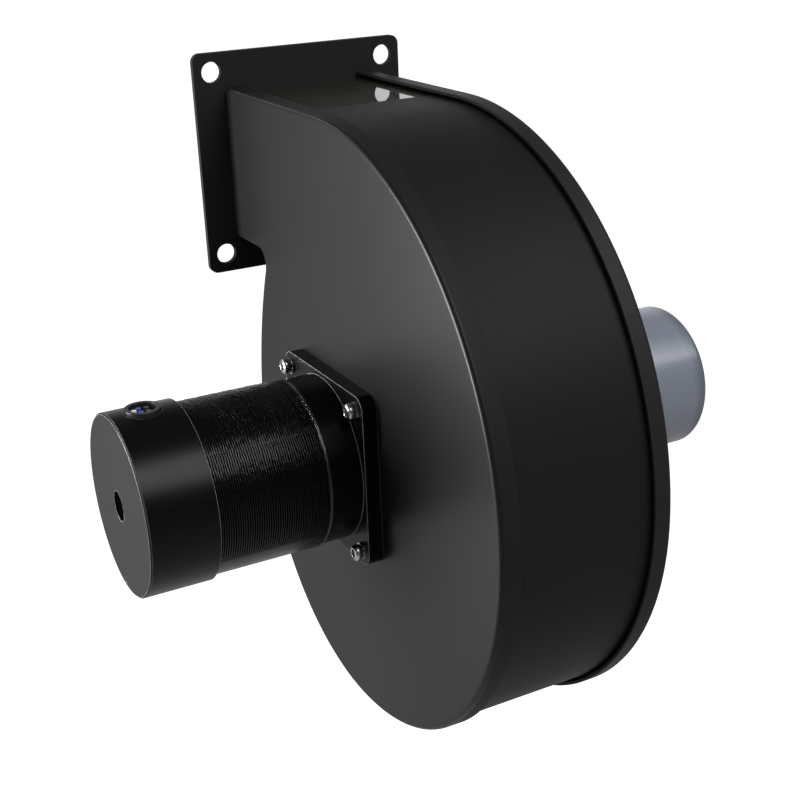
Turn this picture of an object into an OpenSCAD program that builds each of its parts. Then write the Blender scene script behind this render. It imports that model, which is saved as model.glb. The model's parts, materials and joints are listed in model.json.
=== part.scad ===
/* [Scroll housing] */
// Radius of the scroll's lower left arc, outside
scroll_r = 74.2; // [72:0.2:80]
// Side of the square on whose corners the arc centres stand
scroll_step = 15.2; // [14:0.2:16.4]
// Radius of the flat arc that leads up to the tongue
tongue_wall_r = 150.8; // [146:0.4:156]
// Radius of the corner below the outlet duct
tongue_r = 5; // [4:0.5:6]
// Sideways place of the scroll's square, from the shaft
scroll_x = 0.2; // [-1:0.2:1]
// Height of the scroll's square, from the shaft
scroll_z = -5.3; // [-6:0.1:-4.5]
// Width over both covers
housing_w = 56; // [55:0.5:62]
// Height of the outlet duct, outside
duct_h = 52; // [48:0.5:53]
// Thickness of the sheet metal
sheet_t = 1; // [0.8:0.1:1.1]
// Radius of the front cover's rolled edge
roll_r = 2.5; // [2.2:0.1:3]
// Depth of the front cover's lip
front_lip = 6.5; // [5:0.5:8]
// Radius of the rear cover's turned edge
rear_roll_r = 1.5; // [1.3:0.1:1.8]
// Depth of the rear cover's lip
rear_lip = 6; // [5:0.5:8]
// Height of the rear cover's lip over the front one
rear_proud = 0.7; // [0.5:0.1:1]
// Bend radius of the band's weld flange
band_bend_r = 2; // [1.8:0.1:2.4]
// Width of the band's weld flange
weld_flange = 5; // [4:0.5:6]

/* [Outlet flange] */
// Distance from the shaft to the flange's outer face
outlet_x = 79; // [77:0.5:90]
// Thickness of the flange
flange_t = 2; // [1.5:0.5:3]
// Width of the flange, along the shaft
flange_w = 78; // [78:0.5:90]
// Height of the flange
flange_h = 76; // [76:0.5:90]
// Radius of the flange's corners
flange_corner_r = 3; // [2:0.5:5]
// Radius of the flange's holes
flange_hole_r = 3.5; // [2.2:0.1:3.6]
// Distance from a hole's centre to the flange's edges
flange_inset = 6.5; // [5.5:0.1:6.6]
// Step by which the flange covers the ends of the duct walls
flange_cover = 0.6; // [0:0.1:1]

/* [Motor body] */
// Radius of the rear cap
motor_r = 28.5; // [28.2:0.1:30]
// Radius of the laminations
stack_r = 27.1; // [27:0.1:27.8]
// Distance from the front cover to the motor's end face
motor_len = 73.5; // [73:0.5:76]
// Length of the rear cap
cap_len = 21.5; // [21.5:0.5:24]
// Side of the motor's square flange
motor_flange = 56.4; // [56:0.2:60]
// Thickness of the motor's square flange
motor_flange_t = 5; // [4.5:0.5:6]
// Radius of the square flange's corners
motor_corner_r = 4.5; // [2:0.5:5]
// Radius of the front bell's round part
bell_r = 26.8; // [26.6:0.1:27]
// Depth of the front bell, with its flange
bell_len = 15.5; // [15.5:0.5:17]
// Width of the bright ring at the front of the laminations
ring_w = 0.8; // [0.6:0.1:1.2]
// Radius of the pilot boss
pilot_r = 19.05; // [18.5:0.05:20]
// Height of the pilot boss
pilot_h = 1.6; // [1.2:0.1:2]
// Radius of the recess in the cap's end
recess_r = 4.75; // [4.5:0.05:5.5]
// Radius of the small hole near the cap's rim
notch_r = 0.9; // [0.6:0.1:1.2]
// Angle of the seam line on the laminations
seam_angle = -31.3; // [-40:0.1:-25]
// Angle that the smooth strip below the seam takes up
strip_angle = 40; // [30:1:50]

/* [Motor inside] */
// Number of stator teeth
teeth = 9; // [9]
// Width of a stator tooth
tooth_w = 5; // [4.6:0.1:5.2]
// Inner radius of the stator's yoke
yoke_r = 21.5; // [21.4:0.1:21.7]
// Inner radius of the stator's bore
bore_r = 14.9; // [14.7:0.1:15.1]
// Thickness of the slot insulators
insulator_t = 0.6; // [0.5:0.1:0.7]
// Thickness of a coil beside its tooth
coil_t = 1.9; // [1.5:0.1:2]
// Height of a coil over the stack's ends
coil_end = 3.6; // [3:0.1:3.8]
// Number of magnets on the rotor
poles = 8; // [4:2:10]
// Outer radius of the magnets
magnet_r = 13.8; // [13.4:0.1:13.9]
// Radius of the rotor core
core_r = 11; // [10:0.1:11.2]
// Distance of the tie screws from the shaft
tie_r = 24; // [23.9:0.05:24.1]
// Radius of the tie screws
tie_screw_r = 1.25; // [1:0.05:1.25]

/* [Shaft and bearings] */
// Radius of the shaft
shaft_r = 4; // [3.8:0.1:4.1]
// Radius of the shaft's thick middle
shaft_mid_r = 5; // [4.8:0.1:5.1]
// Distance from the front cover to the shaft's end in the impeller
shaft_out = 26; // [25:0.5:28]
// Depth of the shaft's other end in the cap's recess
shaft_sunk = 2.5; // [1.5:0.5:4]
// Outer radius of the ball bearings
bearing_r = 11; // [11]
// Width of the ball bearings
bearing_w = 7; // [7]
// Radius of the bearing balls
ball_r = 1.98; // [1.9:0.01:1.99]
// Number of balls in a bearing
balls = 7; // [6:7]
// Radius of the circle on which the balls run
ball_circle_r = 7.5; // [7.5]

/* [Fasteners] */
// Half the distance between the motor's mounting screws
mount_half = 23.57; // [23.3:0.01:23.8]
// Radius of the small machine screws
screw_r = 1.45; // [1.2:0.05:1.45]
// Radius of their heads
head_r = 2.75; // [2.5:0.05:3]
// Height of the socket heads
head_h = 2.6; // [2.2:0.1:3]
// Thickness of the spring washers
washer_t = 0.8; // [0.6:0.1:1]
// Width of the nuts across their flats
nut_af = 5.5; // [5.2:0.1:5.8]
// Thickness of the nuts
nut_h = 2.4; // [2:0.1:2.6]
// Side of the stiffening plate behind the front cover
doubler = 66; // [62:1:70]
// Thickness of the stiffening plate
doubler_t = 2; // [1.5:0.1:2.4]

/* [Impeller] */
// Radius of the impeller
impeller_r = 60; // [56:0.5:61]
// Distance from the front cover to the back plate
back_y = 10; // [9.5:0.5:12]
// Thickness of the back plate
back_t = 1.5; // [1:0.1:2]
// Number of blades
blades = 10; // [6:1:12]
// Thickness of a blade
blade_t = 1.5; // [1:0.1:2]
// Radius at which the blades start
blade_in_r = 28; // [27:0.5:32]
// Blade angle at the inner end
blade_in_angle = 30; // [25:1:35]
// Blade angle at the outer end
blade_out_angle = 45; // [40:1:50]
// Height of the shroud over the cover at the rim
shroud_rim_y = 28; // [26:0.5:30]
// Height of the shroud over the cover at the eye
shroud_eye_y = 35.4; // [33:0.2:37]
// Inner radius of the eye
eye_r = 25; // [24.6:0.1:26]
// Height of the eye's neck
neck_h = 5.6; // [4:0.2:6]
// Thickness of the shroud
shroud_t = 1.2; // [1:0.1:1.5]
// Radius of the hub's barrel
hub_r = 9; // [8.5:0.1:9.5]
// Length of the hub
hub_len = 16; // [14:0.5:17]
// Radius of the hub's disc
hub_disc_r = 16; // [15.6:0.2:18]
// Thickness of the hub's disc
hub_disc_t = 2; // [1.5:0.1:2.5]

/* [Inlet] */
// Outer radius of the inlet pipe
pipe_r = 25; // [24.8:0.1:25.6]
// Wall of the inlet pipe
pipe_wall = 2.4; // [2:0.1:2.6]
// Distance from the front cover to the pipe's open end
pipe_end_y = 130.5; // [90:0.5:140]
// Radius of the pipe's foot
foot_r = 38; // [37:0.5:42]
// Thickness of the pipe's foot
foot_t = 4; // [3:0.5:6]
// Distance of the foot's screws from the shaft
foot_screw_r = 31.5; // [31:0.1:32]
// Thickness of the gasket under the foot
gasket_t = 1; // [0.5:0.1:1.5]
// Depth from the rear cover to the inlet cone's tip
cone_depth = 16; // [14:0.5:18]

/* [Cable outlet] */
// Distance from the cap's end face to the grommet
grommet_y = 10.5; // [10:0.1:11]
// Radius of the grommet's rim
grommet_r = 5.4; // [5.2:0.1:5.6]
// Radius of the wire ends
lead_r = 0.85; // [0.7:0.05:0.9]

/* [Hidden] */
$fn = 120;
eps = 0.5;
fit_gap = 0.3;
run_gap = 0.1;
half_step = scroll_step / 2;
center_a = [scroll_x + half_step, scroll_z - half_step];
center_b = [scroll_x + half_step, scroll_z + half_step];
center_c = [scroll_x - half_step, scroll_z + half_step];
center_d = [center_a.x - scroll_r + tongue_wall_r, center_a.y];
radius_b = scroll_r + scroll_step;
radius_c = scroll_r + 2 * scroll_step;
top_z = center_c.y + radius_c;
duct_z = top_z - duct_h;
outlet_z = top_z - duct_h / 2;
tongue_lap = 0.15;
tongue_z = duct_z - tongue_r + tongue_lap;
tongue_reach = tongue_wall_r + tongue_r - tongue_lap;
tongue_angle = asin((tongue_z - center_d.y) / tongue_reach);
tongue_c = [center_d.x - tongue_reach * cos(tongue_angle), tongue_z];
run_on_angle = 2;
duct_end = outlet_x - flange_t;
rim_w = 2;
band_off = -sheet_t - fit_gap;
rear_y = housing_w - sheet_t;
hole_r = screw_r + 0.25;
bell_y = -bell_len;
stack_y = bell_y - ring_w;
cap_y = cap_len - motor_len;
end_y = -motor_len;
cap_wall = 3.5;
front_seat_y = -1;
front_bearing_y = front_seat_y - bearing_w / 2;
front_shoulder_y = front_seat_y - bearing_w;
rear_shoulder_y = end_y + 13.5;
rear_bearing_y = rear_shoulder_y - bearing_w / 2;
wave_y = rear_shoulder_y - bearing_w;
wave_t = 0.5;
seat_r = bearing_r + fit_gap;
bearing_bore_r = shaft_r + run_gap;
end_plate_t = 0.8;
insulator_y0 = cap_y - end_plate_t;
insulator_y1 = bell_y;
tooth_tip_r = 16.4;
insulator_r = tooth_tip_r + 0.2;
coil_in_r = tooth_tip_r + 0.8;
insulator_half = tooth_w / 2 + insulator_t;
coil_half = insulator_half + coil_t;
rim_in = yoke_r - 0.6;
rim_out = yoke_r + 0.5;
insulator_out_r = sqrt(pow(yoke_r, 2) - pow(insulator_half, 2)) - 0.05;
coil_out_r = sqrt(pow(rim_in, 2) - pow(coil_half, 2)) - run_gap;
clip_t = 1;
core_y0 = cap_y;
core_y1 = stack_y - 0.7;
board_y = rear_shoulder_y + 1.4;
board_t = 1.6;
board_r = 22;
board_pegs = [110, 230, 350];
board_peg_r = 0.5;
hall_h = 3.5;
hub_y = back_y - hub_disc_t;
hub_bore_r = shaft_r + run_gap;
set_screw_y = hub_y + hub_len - 6;
set_screw_r = 1.8;
rivet_r = 1.3;
rivet_circle_r = 13;
rivet_head_r = 2.4;
rivet_head_h = 1;
screw_tip = 0.8;
tie_head_r = 2.3;
tie_head_h = 1.8;
tie_sunk = 2.2;
pipe_in_r = pipe_r - pipe_wall;
gasket_y = housing_w;
foot_y = gasket_y + gasket_t;
cone_y = rear_y - sheet_t;
grommet_z = motor_r - 0.6;
grommet_seat_z = motor_r - cap_wall - 0.4;
brim_w = 0.8;
brim_t = 1.2;
nut_r = nut_af / 2 / cos(30);
blade_end_r = impeller_r - 1;
blade_arc_r = (pow(blade_end_r, 2) - pow(blade_in_r, 2))
    / (2 * (blade_end_r * cos(blade_out_angle) - blade_in_r * cos(blade_in_angle)));
blade_center = sqrt(pow(blade_arc_r, 2) + pow(blade_end_r, 2)
    - 2 * blade_arc_r * blade_end_r * cos(blade_out_angle));
corners = [45, 135, 225, 315];

// Moves a piece from the shaft's own axes to the outlet flange's centre
module placed() {
    translate([outlet_x, -housing_w / 2, -outlet_z]) children();
}

// A flat shape in the shaft's plane, made solid from y0 to y1
module slab(y0, y1) {
    translate([0, y1, 0]) rotate([90, 0, 0]) linear_extrude(y1 - y0) children();
}

// A profile of radius and y, turned round the shaft
module turned() {
    rotate([-90, 0, 0]) rotate_extrude() children();
}

// A tube or, with no inner radius, a disc on the shaft's axis
module ring(r_out, r_in, y0, y1) {
    slab(y0, y1) difference() {
        circle(r_out);
        if (r_in > 0) circle(r_in);
    }
}

// Places a child at distance r from the shaft, at angle a
module at_angle(a, r) {
    translate([r * cos(a), 0, r * sin(a)]) children();
}

module round_rect(w, h, r) {
    square([w - 2 * r, h], center = true);
    square([w, h - 2 * r], center = true);
    for (x = [-1, 1], y = [-1, 1]) translate([x * (w / 2 - r), y * (h / 2 - r)]) circle(r);
}

// The four places of the motor's mounting screws
module at_mounts() {
    for (x = [-1, 1], z = [-1, 1]) translate([x * mount_half, 0, z * mount_half]) children();
}

module quarter(c, r, turn) {
    translate(c) rotate(turn) intersection() {
        circle(r);
        square(r);
    }
}

// Outline of scroll and duct: off moves it outwards, reach lengthens the duct
module scroll_shape(off, reach = 0) {
    tip = tongue_c + (tongue_r - off + 4) * [cos(tongue_angle), -sin(tongue_angle)];
    block_x = tip.x + 3 * tongue_r;
    quarter(center_c, radius_c + off, 0);
    quarter(center_b, radius_b + off, -90);
    quarter(center_a, scroll_r + off, 180);
    intersection() {
        translate(center_d) circle(tongue_wall_r + off);
        translate([-duct_end, center_d.y])
            square([duct_end + center_a.x, duct_z - off - center_d.y + eps]);
    }
    translate([-duct_end - reach, duct_z - off])
        square([duct_end + reach + center_c.x, duct_h + 2 * off]);
    difference() {
        polygon([
            tongue_c, tip, [block_x, tip.y],
            [block_x, duct_z - off + eps], [tongue_c.x, duct_z - off + eps]
        ]);
        translate(tongue_c) circle(tongue_r - off);
    }
}

// Turns a profile round centre c, from angle a0 to a1
module sector(c, a0, a1) {
    translate([c.x, 0, c.y]) rotate([-90, 0, 0]) rotate([0, 0, -a1])
        rotate_extrude(angle = a1 - a0) children();
}

// A profile in the plane of y and z, made solid from x0 to x1
module bar(x0, x1) {
    translate([x0, 0, 0]) rotate([90, 0, 90]) linear_extrude(x1 - x0) children();
}

// Section of a rim at radius r, its front edge rounded: side is 1 outside and -1 inside a bend
module rim_profile(r, depth, edge_r, side) {
    inner = r - side * (edge_r + rim_w);
    translate([min(inner, r - side * edge_r), 0]) square([rim_w, depth]);
    translate([min(inner, r), edge_r]) square([edge_r + rim_w, depth - edge_r]);
    translate([r - side * edge_r, edge_r]) circle(edge_r);
}

// Section of a straight rim at height z, for the duct's upper (side 1) or lower (side -1) edge
module straight_profile(z, depth, edge_r, side) {
    rotate(90) mirror([0, 1]) rim_profile(z, depth, edge_r, side);
}

// A dished block that follows the scroll's outline, with its front edge rounded.
// The rims beside the tongue run on into its bend, so that their ends lie inside it.
module dish(off, depth, edge_r, reach = 0) {
    slab(0, depth) scroll_shape(off - edge_r - rim_w / 2, reach);
    sector(center_c, 0, 90) rim_profile(radius_c + off, depth, edge_r, 1);
    sector(center_b, -90, 0) rim_profile(radius_b + off, depth, edge_r, 1);
    sector(center_a, -180, -90) rim_profile(scroll_r + off, depth, edge_r, 1);
    sector(center_d, 180 - tongue_angle - run_on_angle, 180)
        rim_profile(tongue_wall_r + off, depth, edge_r, 1);
    sector(tongue_c, -tongue_angle, 90) rim_profile(tongue_r - off, depth, edge_r, -1);
    bar(-duct_end - reach, center_c.x) straight_profile(top_z + off, depth, edge_r, 1);
    bar(-duct_end - reach, tongue_c.x + tongue_r) straight_profile(duct_z - off, depth, edge_r, -1);
}

module screw(y_head, y_tip, r, h_r, h_h) {
    dir = y_tip > y_head ? 1 : -1;
    difference() {
        union() {
            slab(min(y_head, y_head - dir * h_h), max(y_head, y_head - dir * h_h)) circle(h_r);
            slab(min(y_head, y_tip), max(y_head, y_tip)) circle(r);
        }
        slab(min(y_head - dir * h_h / 2, y_head - dir * (h_h + eps)),
            max(y_head - dir * h_h / 2, y_head - dir * (h_h + eps))) circle(h_r * 0.5, $fn = 6);
    }
}

module nut(y0) {
    slab(y0, y0 + nut_h) difference() {
        circle(nut_r, $fn = 6);
        circle(screw_r + fit_gap);
    }
}

// Places a child in the middle of each bearing
module at_bearings() {
    translate([0, front_bearing_y, 0]) children();
    translate([0, rear_bearing_y, 0]) children();
}

module ball_set(r) {
    for (i = [0:balls - 1]) at_angle(i * 360 / balls, ball_circle_r) sphere(r);
}

module ball_cage() {
    difference() {
        ring(ball_circle_r + 0.6, ball_circle_r - 0.6, -2.4, 2.4);
        for (i = [0:balls - 1]) rotate([0, 90 - i * 360 / balls, 0])
            cylinder(h = ball_circle_r + 1, r = ball_r + run_gap);
    }
}

module front_cover() {
    color("#26272a") placed() difference() {
        dish(0, front_lip, roll_r);
        translate([0, sheet_t, 0]) dish(-sheet_t, front_lip, roll_r - sheet_t, eps);
        ring(pilot_r + fit_gap, 0, -eps, sheet_t + eps);
        at_mounts() ring(hole_r, 0, -eps, sheet_t + eps);
    }
}

module scroll_band() {
    depth = housing_w - 2 * sheet_t;
    color("#1d1e20") placed() translate([0, sheet_t, 0]) difference() {
        dish(band_off, depth, band_bend_r);
        translate([0, sheet_t, 0]) dish(band_off - sheet_t, depth, band_bend_r - sheet_t, eps);
        slab(-eps, sheet_t + eps) scroll_shape(band_off - band_bend_r - weld_flange, eps);
    }
}

module rear_cover() {
    inner = rear_proud - sheet_t;
    color("#222326") placed() translate([0, housing_w, 0]) mirror([0, 1, 0]) difference() {
        dish(rear_proud, rear_lip, rear_roll_r);
        translate([0, sheet_t, 0]) dish(inner, rear_lip, rear_roll_r - sheet_t, eps);
        ring(pipe_in_r + sheet_t, 0, -eps, sheet_t + eps);
        for (a = corners) at_angle(a, foot_screw_r) ring(hole_r, 0, -eps, sheet_t + eps);
    }
}

module outlet_flange() {
    wall = sheet_t - band_off + flange_cover;
    hole_y = flange_w / 2 - flange_inset;
    hole_z = flange_h / 2 - flange_inset;
    color("#1b1c1e") rotate([90, 0, 90]) linear_extrude(flange_t) difference() {
        round_rect(flange_w, flange_h, flange_corner_r);
        square([housing_w - 2 * (sheet_t + flange_cover), duct_h - 2 * wall], center = true);
        for (y = [-1, 1], z = [-1, 1]) translate([y * hole_y, z * hole_z]) circle(flange_hole_r);
    }
}

module motor_doubler() {
    color("#8c8f93") placed() slab(sheet_t, sheet_t + doubler_t) difference() {
        round_rect(doubler, doubler, 4);
        circle(pilot_r + fit_gap);
        for (x = [-1, 1], y = [-1, 1]) translate([x, y] * mount_half) circle(hole_r);
    }
}

module motor_bell() {
    cavity_y = bell_y + 5.5;
    color("#141517") placed() difference() {
        union() {
            slab(-motor_flange_t, 0) round_rect(motor_flange, motor_flange, motor_corner_r);
            ring(bell_r, 0, bell_y, -motor_flange_t);
            ring(pilot_r, 0, 0, pilot_h);
        }
        ring(yoke_r + 0.6, 0, bell_y - eps, cavity_y);
        ring(seat_r, 0, cavity_y - eps, front_seat_y);
        ring(shaft_r + 3, 0, front_seat_y - eps, pilot_h + eps);
        at_mounts() ring(hole_r, 0, -motor_flange_t - eps, eps);
        for (a = corners) at_angle(a, tie_r) {
            ring(tie_screw_r + fit_gap, 0, bell_y - eps, eps);
            ring(tie_head_r + fit_gap, 0, -tie_sunk, eps);
        }
    }
}

module bell_ring() {
    color("#c9ccd0") placed() difference() {
        ring(stack_r + 0.2, yoke_r + 0.6, stack_y, bell_y);
        for (a = corners) at_angle(a, tie_r) ring(tie_screw_r + fit_gap, 0, stack_y - eps, bell_y + eps);
    }
}

// One stator tooth with its shoe, pointing up
module tooth() {
    translate([-tooth_w / 2, bore_r]) square([tooth_w, yoke_r - bore_r + eps]);
    intersection() {
        difference() {
            circle(tooth_tip_r);
            circle(bore_r);
        }
        polygon([[0, 0], [tooth_tip_r * tan(14), tooth_tip_r], [-tooth_tip_r * tan(14), tooth_tip_r]] * 1.1);
    }
}

module stator_stack() {
    color("#1a1b1d") placed() slab(cap_y, stack_y) difference() {
        union() {
            difference() {
                circle(stack_r);
                circle(yoke_r);
            }
            difference() {
                for (i = [0:teeth - 1]) rotate(i * 360 / teeth) tooth();
                circle(bore_r);
            }
            intersection() {
                difference() {
                    circle(stack_r + 0.15);
                    circle(stack_r - 1);
                }
                rotate(seam_angle) polygon([
                    [0, 0], [2 * stack_r, 0],
                    2 * stack_r * [cos(strip_angle), -sin(strip_angle)]
                ]);
            }
        }
        rotate(seam_angle) translate([stack_r - 0.35, -0.35]) square([1, 0.6]);
        for (a = corners) rotate(a) translate([tie_r, 0]) circle(tie_screw_r + fit_gap);
    }
}

// Repeats a piece that stands over one tooth round the whole stator
module at_teeth() {
    for (i = [0:teeth - 1]) rotate([0, i * 360 / teeth, 0]) children();
}

// Frame round a tooth: half width w, from y0 to y1, made solid from radius r0 to r1
module tooth_frame(w, y0, y1, w_in, y0_in, y1_in, r0, r1) {
    translate([0, 0, r0]) linear_extrude(r1 - r0) difference() {
        translate([-w, y0]) square([2 * w, y1 - y0]);
        translate([-w_in, y0_in]) square([2 * w_in, y1_in - y0_in]);
    }
}

module slot_insulators() {
    half_tooth = tooth_w / 2;
    wall = 1.4;
    rise = 2.6;
    color("#d8d2bd") placed() {
        at_teeth() {
            tooth_frame(insulator_half, insulator_y0, insulator_y1, half_tooth, cap_y, stack_y,
                insulator_r, insulator_out_r);
            tooth_frame(insulator_half + wall, insulator_y0 - rise, insulator_y1 + rise,
                half_tooth, cap_y, stack_y, insulator_r, coil_in_r - run_gap);
        }
        ring(rim_out, rim_in, insulator_y0 + run_gap, cap_y - run_gap);
        ring(rim_out, rim_in, stack_y + run_gap, insulator_y1 - run_gap);
        for (a = board_pegs) at_angle(a, (rim_out + rim_in) / 2)
            ring(board_peg_r, 0, board_y + board_t, insulator_y0 + board_peg_r / 2);
    }
}

module stator_coils() {
    color("#b4622d") placed() at_teeth() tooth_frame(coil_half, insulator_y0 - coil_end,
        insulator_y1 + coil_end, insulator_half, insulator_y0, insulator_y1, coil_in_r, coil_out_r);
}

module rear_cap() {
    inner_r = motor_r - cap_wall;
    floor_y = end_y + cap_wall;
    boss_r = seat_r + 2.5;
    pocket_h = 3 * brim_t;
    chamfer = 0.5;
    color("#17181a") placed() difference() {
        union() {
            turned() polygon([
                [recess_r, end_y], [motor_r - chamfer, end_y], [motor_r, end_y + chamfer],
                [motor_r, cap_y], [inner_r, cap_y], [inner_r, floor_y], [boss_r, floor_y],
                [boss_r, board_y], [seat_r, board_y],
                [seat_r, wave_y - wave_t], [recess_r, wave_y - wave_t]
            ]);
            for (a = corners) at_angle(a, tie_r) ring(2.9, 0, floor_y - eps, board_y - 1);
        }
        for (a = corners) at_angle(a, tie_r) ring(tie_screw_r + fit_gap, 0, floor_y, cap_y + eps);
        translate([-2.2, 0, -motor_r + 2.3]) ring(notch_r, 0, end_y - eps, end_y + 2);
        translate([0, end_y + grommet_y, 0]) {
            translate([0, 0, grommet_seat_z - pocket_h]) {
                cylinder(h = motor_r, r = grommet_r - 0.2);
                cylinder(h = pocket_h, r = grommet_r + brim_w + fit_gap);
            }
            translate([0, 0, grommet_z]) cylinder(h = motor_r, r = grommet_r + fit_gap);
        }
    }
}

module tie_screws() {
    color("#9a9da1") placed() for (a = corners) at_angle(a, tie_r)
        screw(-tie_sunk, end_y + cap_wall + 1, tie_screw_r, tie_head_r, tie_head_h);
}

module mount_screws() {
    color("#c6c9cc") placed() at_mounts()
        screw(-motor_flange_t - washer_t, sheet_t + doubler_t + nut_h + screw_tip,
            screw_r, head_r, head_h);
}

module mount_washers() {
    color("#b2b5b9") placed() at_mounts() ring(head_r - 0.05, screw_r + fit_gap,
        -motor_flange_t - washer_t, -motor_flange_t);
}

module mount_nuts() {
    color("#b2b5b9") placed() at_mounts() nut(sheet_t + doubler_t);
}

module sensor_board() {
    color("#2f6b3c") placed() ring(board_r, shaft_mid_r + 2, board_y, board_y + board_t);
}

module hall_sensors() {
    color("#202020") placed() for (a = [-20, 20, 60]) rotate([0, -a, 0])
        translate([core_r + 0.7, board_y + board_t, -2]) cube([1.5, hall_h, 4]);
}

lead_spots = [[-1.3, -0.9], [1.3, -0.9], [0, -2.7], [-1.3, 1.5], [1.3, 1.5]];

module lead(i, top) {
    placed() translate([lead_spots[i].x, end_y + grommet_y + lead_spots[i].y, motor_r - 9])
        cylinder(h = 9 + top, r = lead_r);
}

module cable_grommet() {
    waist_r = grommet_r - 0.5;
    overlap = 0.1;
    color("#9da1a4") placed() translate([0, end_y + grommet_y, 0]) difference() {
        union() {
            translate([0, 0, grommet_seat_z - brim_t]) cylinder(h = brim_t, r = grommet_r + brim_w);
            translate([0, 0, grommet_seat_z - overlap])
                cylinder(h = grommet_z - grommet_seat_z + 2 * overlap, r = waist_r);
            translate([0, 0, grommet_z]) cylinder(h = 1.6, r = grommet_r);
        }
        translate([0, 0, grommet_seat_z + brim_t]) cylinder(h = motor_r, r = grommet_r - 1.2);
        for (p = lead_spots) translate([p.x, p.y, grommet_seat_z - 2]) cylinder(h = 5, r = lead_r + 0.2);
    }
}

module lead_blue() {
    color("#3656a8") {
        lead(0, 0.5);
        lead(1, 0.3);
    }
}

module lead_white() {
    color("#e4e6e8") lead(2, 0.5);
}

module lead_dark() {
    color("#1c211f") {
        lead(3, 0.4);
        lead(4, 0.2);
    }
}

module bearing_outer_rings() {
    color("#b9bcc0") placed() at_bearings() turned() difference() {
        translate([ball_circle_r + 1.4, -bearing_w / 2]) square([bearing_r - ball_circle_r - 1.4, bearing_w]);
        translate([ball_circle_r, 0]) circle(ball_r + run_gap);
    }
}

module bearing_inner_rings() {
    color("#b9bcc0") placed() at_bearings() turned() difference() {
        translate([bearing_bore_r, -bearing_w / 2])
            square([ball_circle_r - 1.4 - bearing_bore_r, bearing_w]);
        translate([ball_circle_r, 0]) circle(ball_r + run_gap);
    }
}

module bearing_shields() {
    color("#a5a8ab") placed() at_bearings() for (y = [-3.3, 3])
        ring(ball_circle_r + 1.35, ball_circle_r - 1.1, y, y + 0.3);
}

module front_bearing_balls() {
    color("#d5d7da") placed() translate([0, front_bearing_y, 0]) ball_set(ball_r);
}

module front_bearing_cage() {
    color("#a88a4a") placed() translate([0, front_bearing_y, 0]) ball_cage();
}

module rear_bearing_balls() {
    color("#d5d7da") placed() translate([0, rear_bearing_y, 0]) ball_set(ball_r);
}

module rear_bearing_cage() {
    color("#a88a4a") placed() translate([0, rear_bearing_y, 0]) ball_cage();
}

module wave_washer() {
    color("#8d9094") placed() ring(bearing_r - 0.3, bearing_r - 2, wave_y - wave_t, wave_y);
}

module shaft() {
    color("#c4c7ca") placed() turned() polygon([
        [0, end_y + shaft_sunk], [shaft_r - 0.5, end_y + shaft_sunk],
        [shaft_r, end_y + shaft_sunk + 0.5], [shaft_r, rear_shoulder_y],
        [shaft_mid_r, rear_shoulder_y], [shaft_mid_r, front_shoulder_y],
        [shaft_r, front_shoulder_y], [shaft_r, shaft_out - 0.5],
        [shaft_r - 0.5, shaft_out], [0, shaft_out]
    ]);
}

// C-shaped ring, open towards +X
module clip(y0) {
    slab(y0, y0 + clip_t) difference() {
        circle(shaft_mid_r + 2.8);
        circle(shaft_mid_r + 0.2);
        translate([0, -2.5]) square([10, 5]);
    }
}

module retaining_rings() {
    color("#6d7074") placed() {
        clip(core_y0 - clip_t);
        clip(core_y1);
    }
}

module rotor_core() {
    color("#808488") placed() ring(core_r, shaft_mid_r + fit_gap, core_y0, core_y1);
}

module rotor_magnets() {
    color("#4c4f54") placed() slab(core_y0 + 0.5, core_y1 - 0.5) difference() {
        circle(magnet_r);
        circle(core_r + fit_gap);
        for (i = [0:poles - 1]) rotate((i + 0.5) * 360 / poles) translate([0, -0.5]) square([magnet_r + 1, 1]);
    }
}

module impeller_hub() {
    color("#aeb2b6") placed() difference() {
        union() {
            ring(hub_disc_r, 0, hub_y, back_y);
            ring(hub_r, 0, hub_y, hub_y + hub_len);
        }
        ring(hub_bore_r, 0, hub_y - eps, hub_y + hub_len + eps);
        for (a = corners) at_angle(a, rivet_circle_r) ring(rivet_r + fit_gap, 0, hub_y - eps, back_y + eps);
        translate([0, set_screw_y, 0]) cylinder(h = hub_r + 1, r = set_screw_r + fit_gap);
    }
}

module hub_set_screw() {
    color("#55585c") placed() translate([0, set_screw_y, shaft_r + 0.1]) difference() {
        cylinder(h = hub_r - shaft_r - 0.3, r = set_screw_r);
        translate([0, 0, hub_r - shaft_r - 2.3]) cylinder(h = 3, r = 1.1, $fn = 6);
    }
}

module hub_rivets() {
    color("#c0c3c6") placed() for (a = corners) at_angle(a, rivet_circle_r) {
        ring(rivet_head_r, 0, hub_y - rivet_head_h, hub_y);
        ring(rivet_r, 0, hub_y, back_y + back_t);
        ring(rivet_head_r, 0, back_y + back_t, back_y + back_t + rivet_head_h);
    }
}

module impeller_back_plate() {
    color("#8f9397") placed() slab(back_y, back_y + back_t) difference() {
        circle(impeller_r);
        circle(hub_r + fit_gap);
        for (a = corners) rotate(a) translate([rivet_circle_r, 0]) circle(rivet_r + fit_gap);
    }
}

// Height of the shroud's underside at radius r
function shroud_y(r) = shroud_rim_y + (impeller_r - r) * (shroud_eye_y - shroud_rim_y) / (impeller_r - eye_r);

module blade_arc() {
    intersection() {
        difference() {
            circle(blade_end_r);
            circle(blade_in_r);
        }
        translate([blade_center, 0]) difference() {
            circle(blade_arc_r + blade_t / 2);
            circle(blade_arc_r - blade_t / 2);
        }
        translate([-impeller_r, 0]) square([2 * impeller_r, impeller_r]);
    }
}

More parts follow.
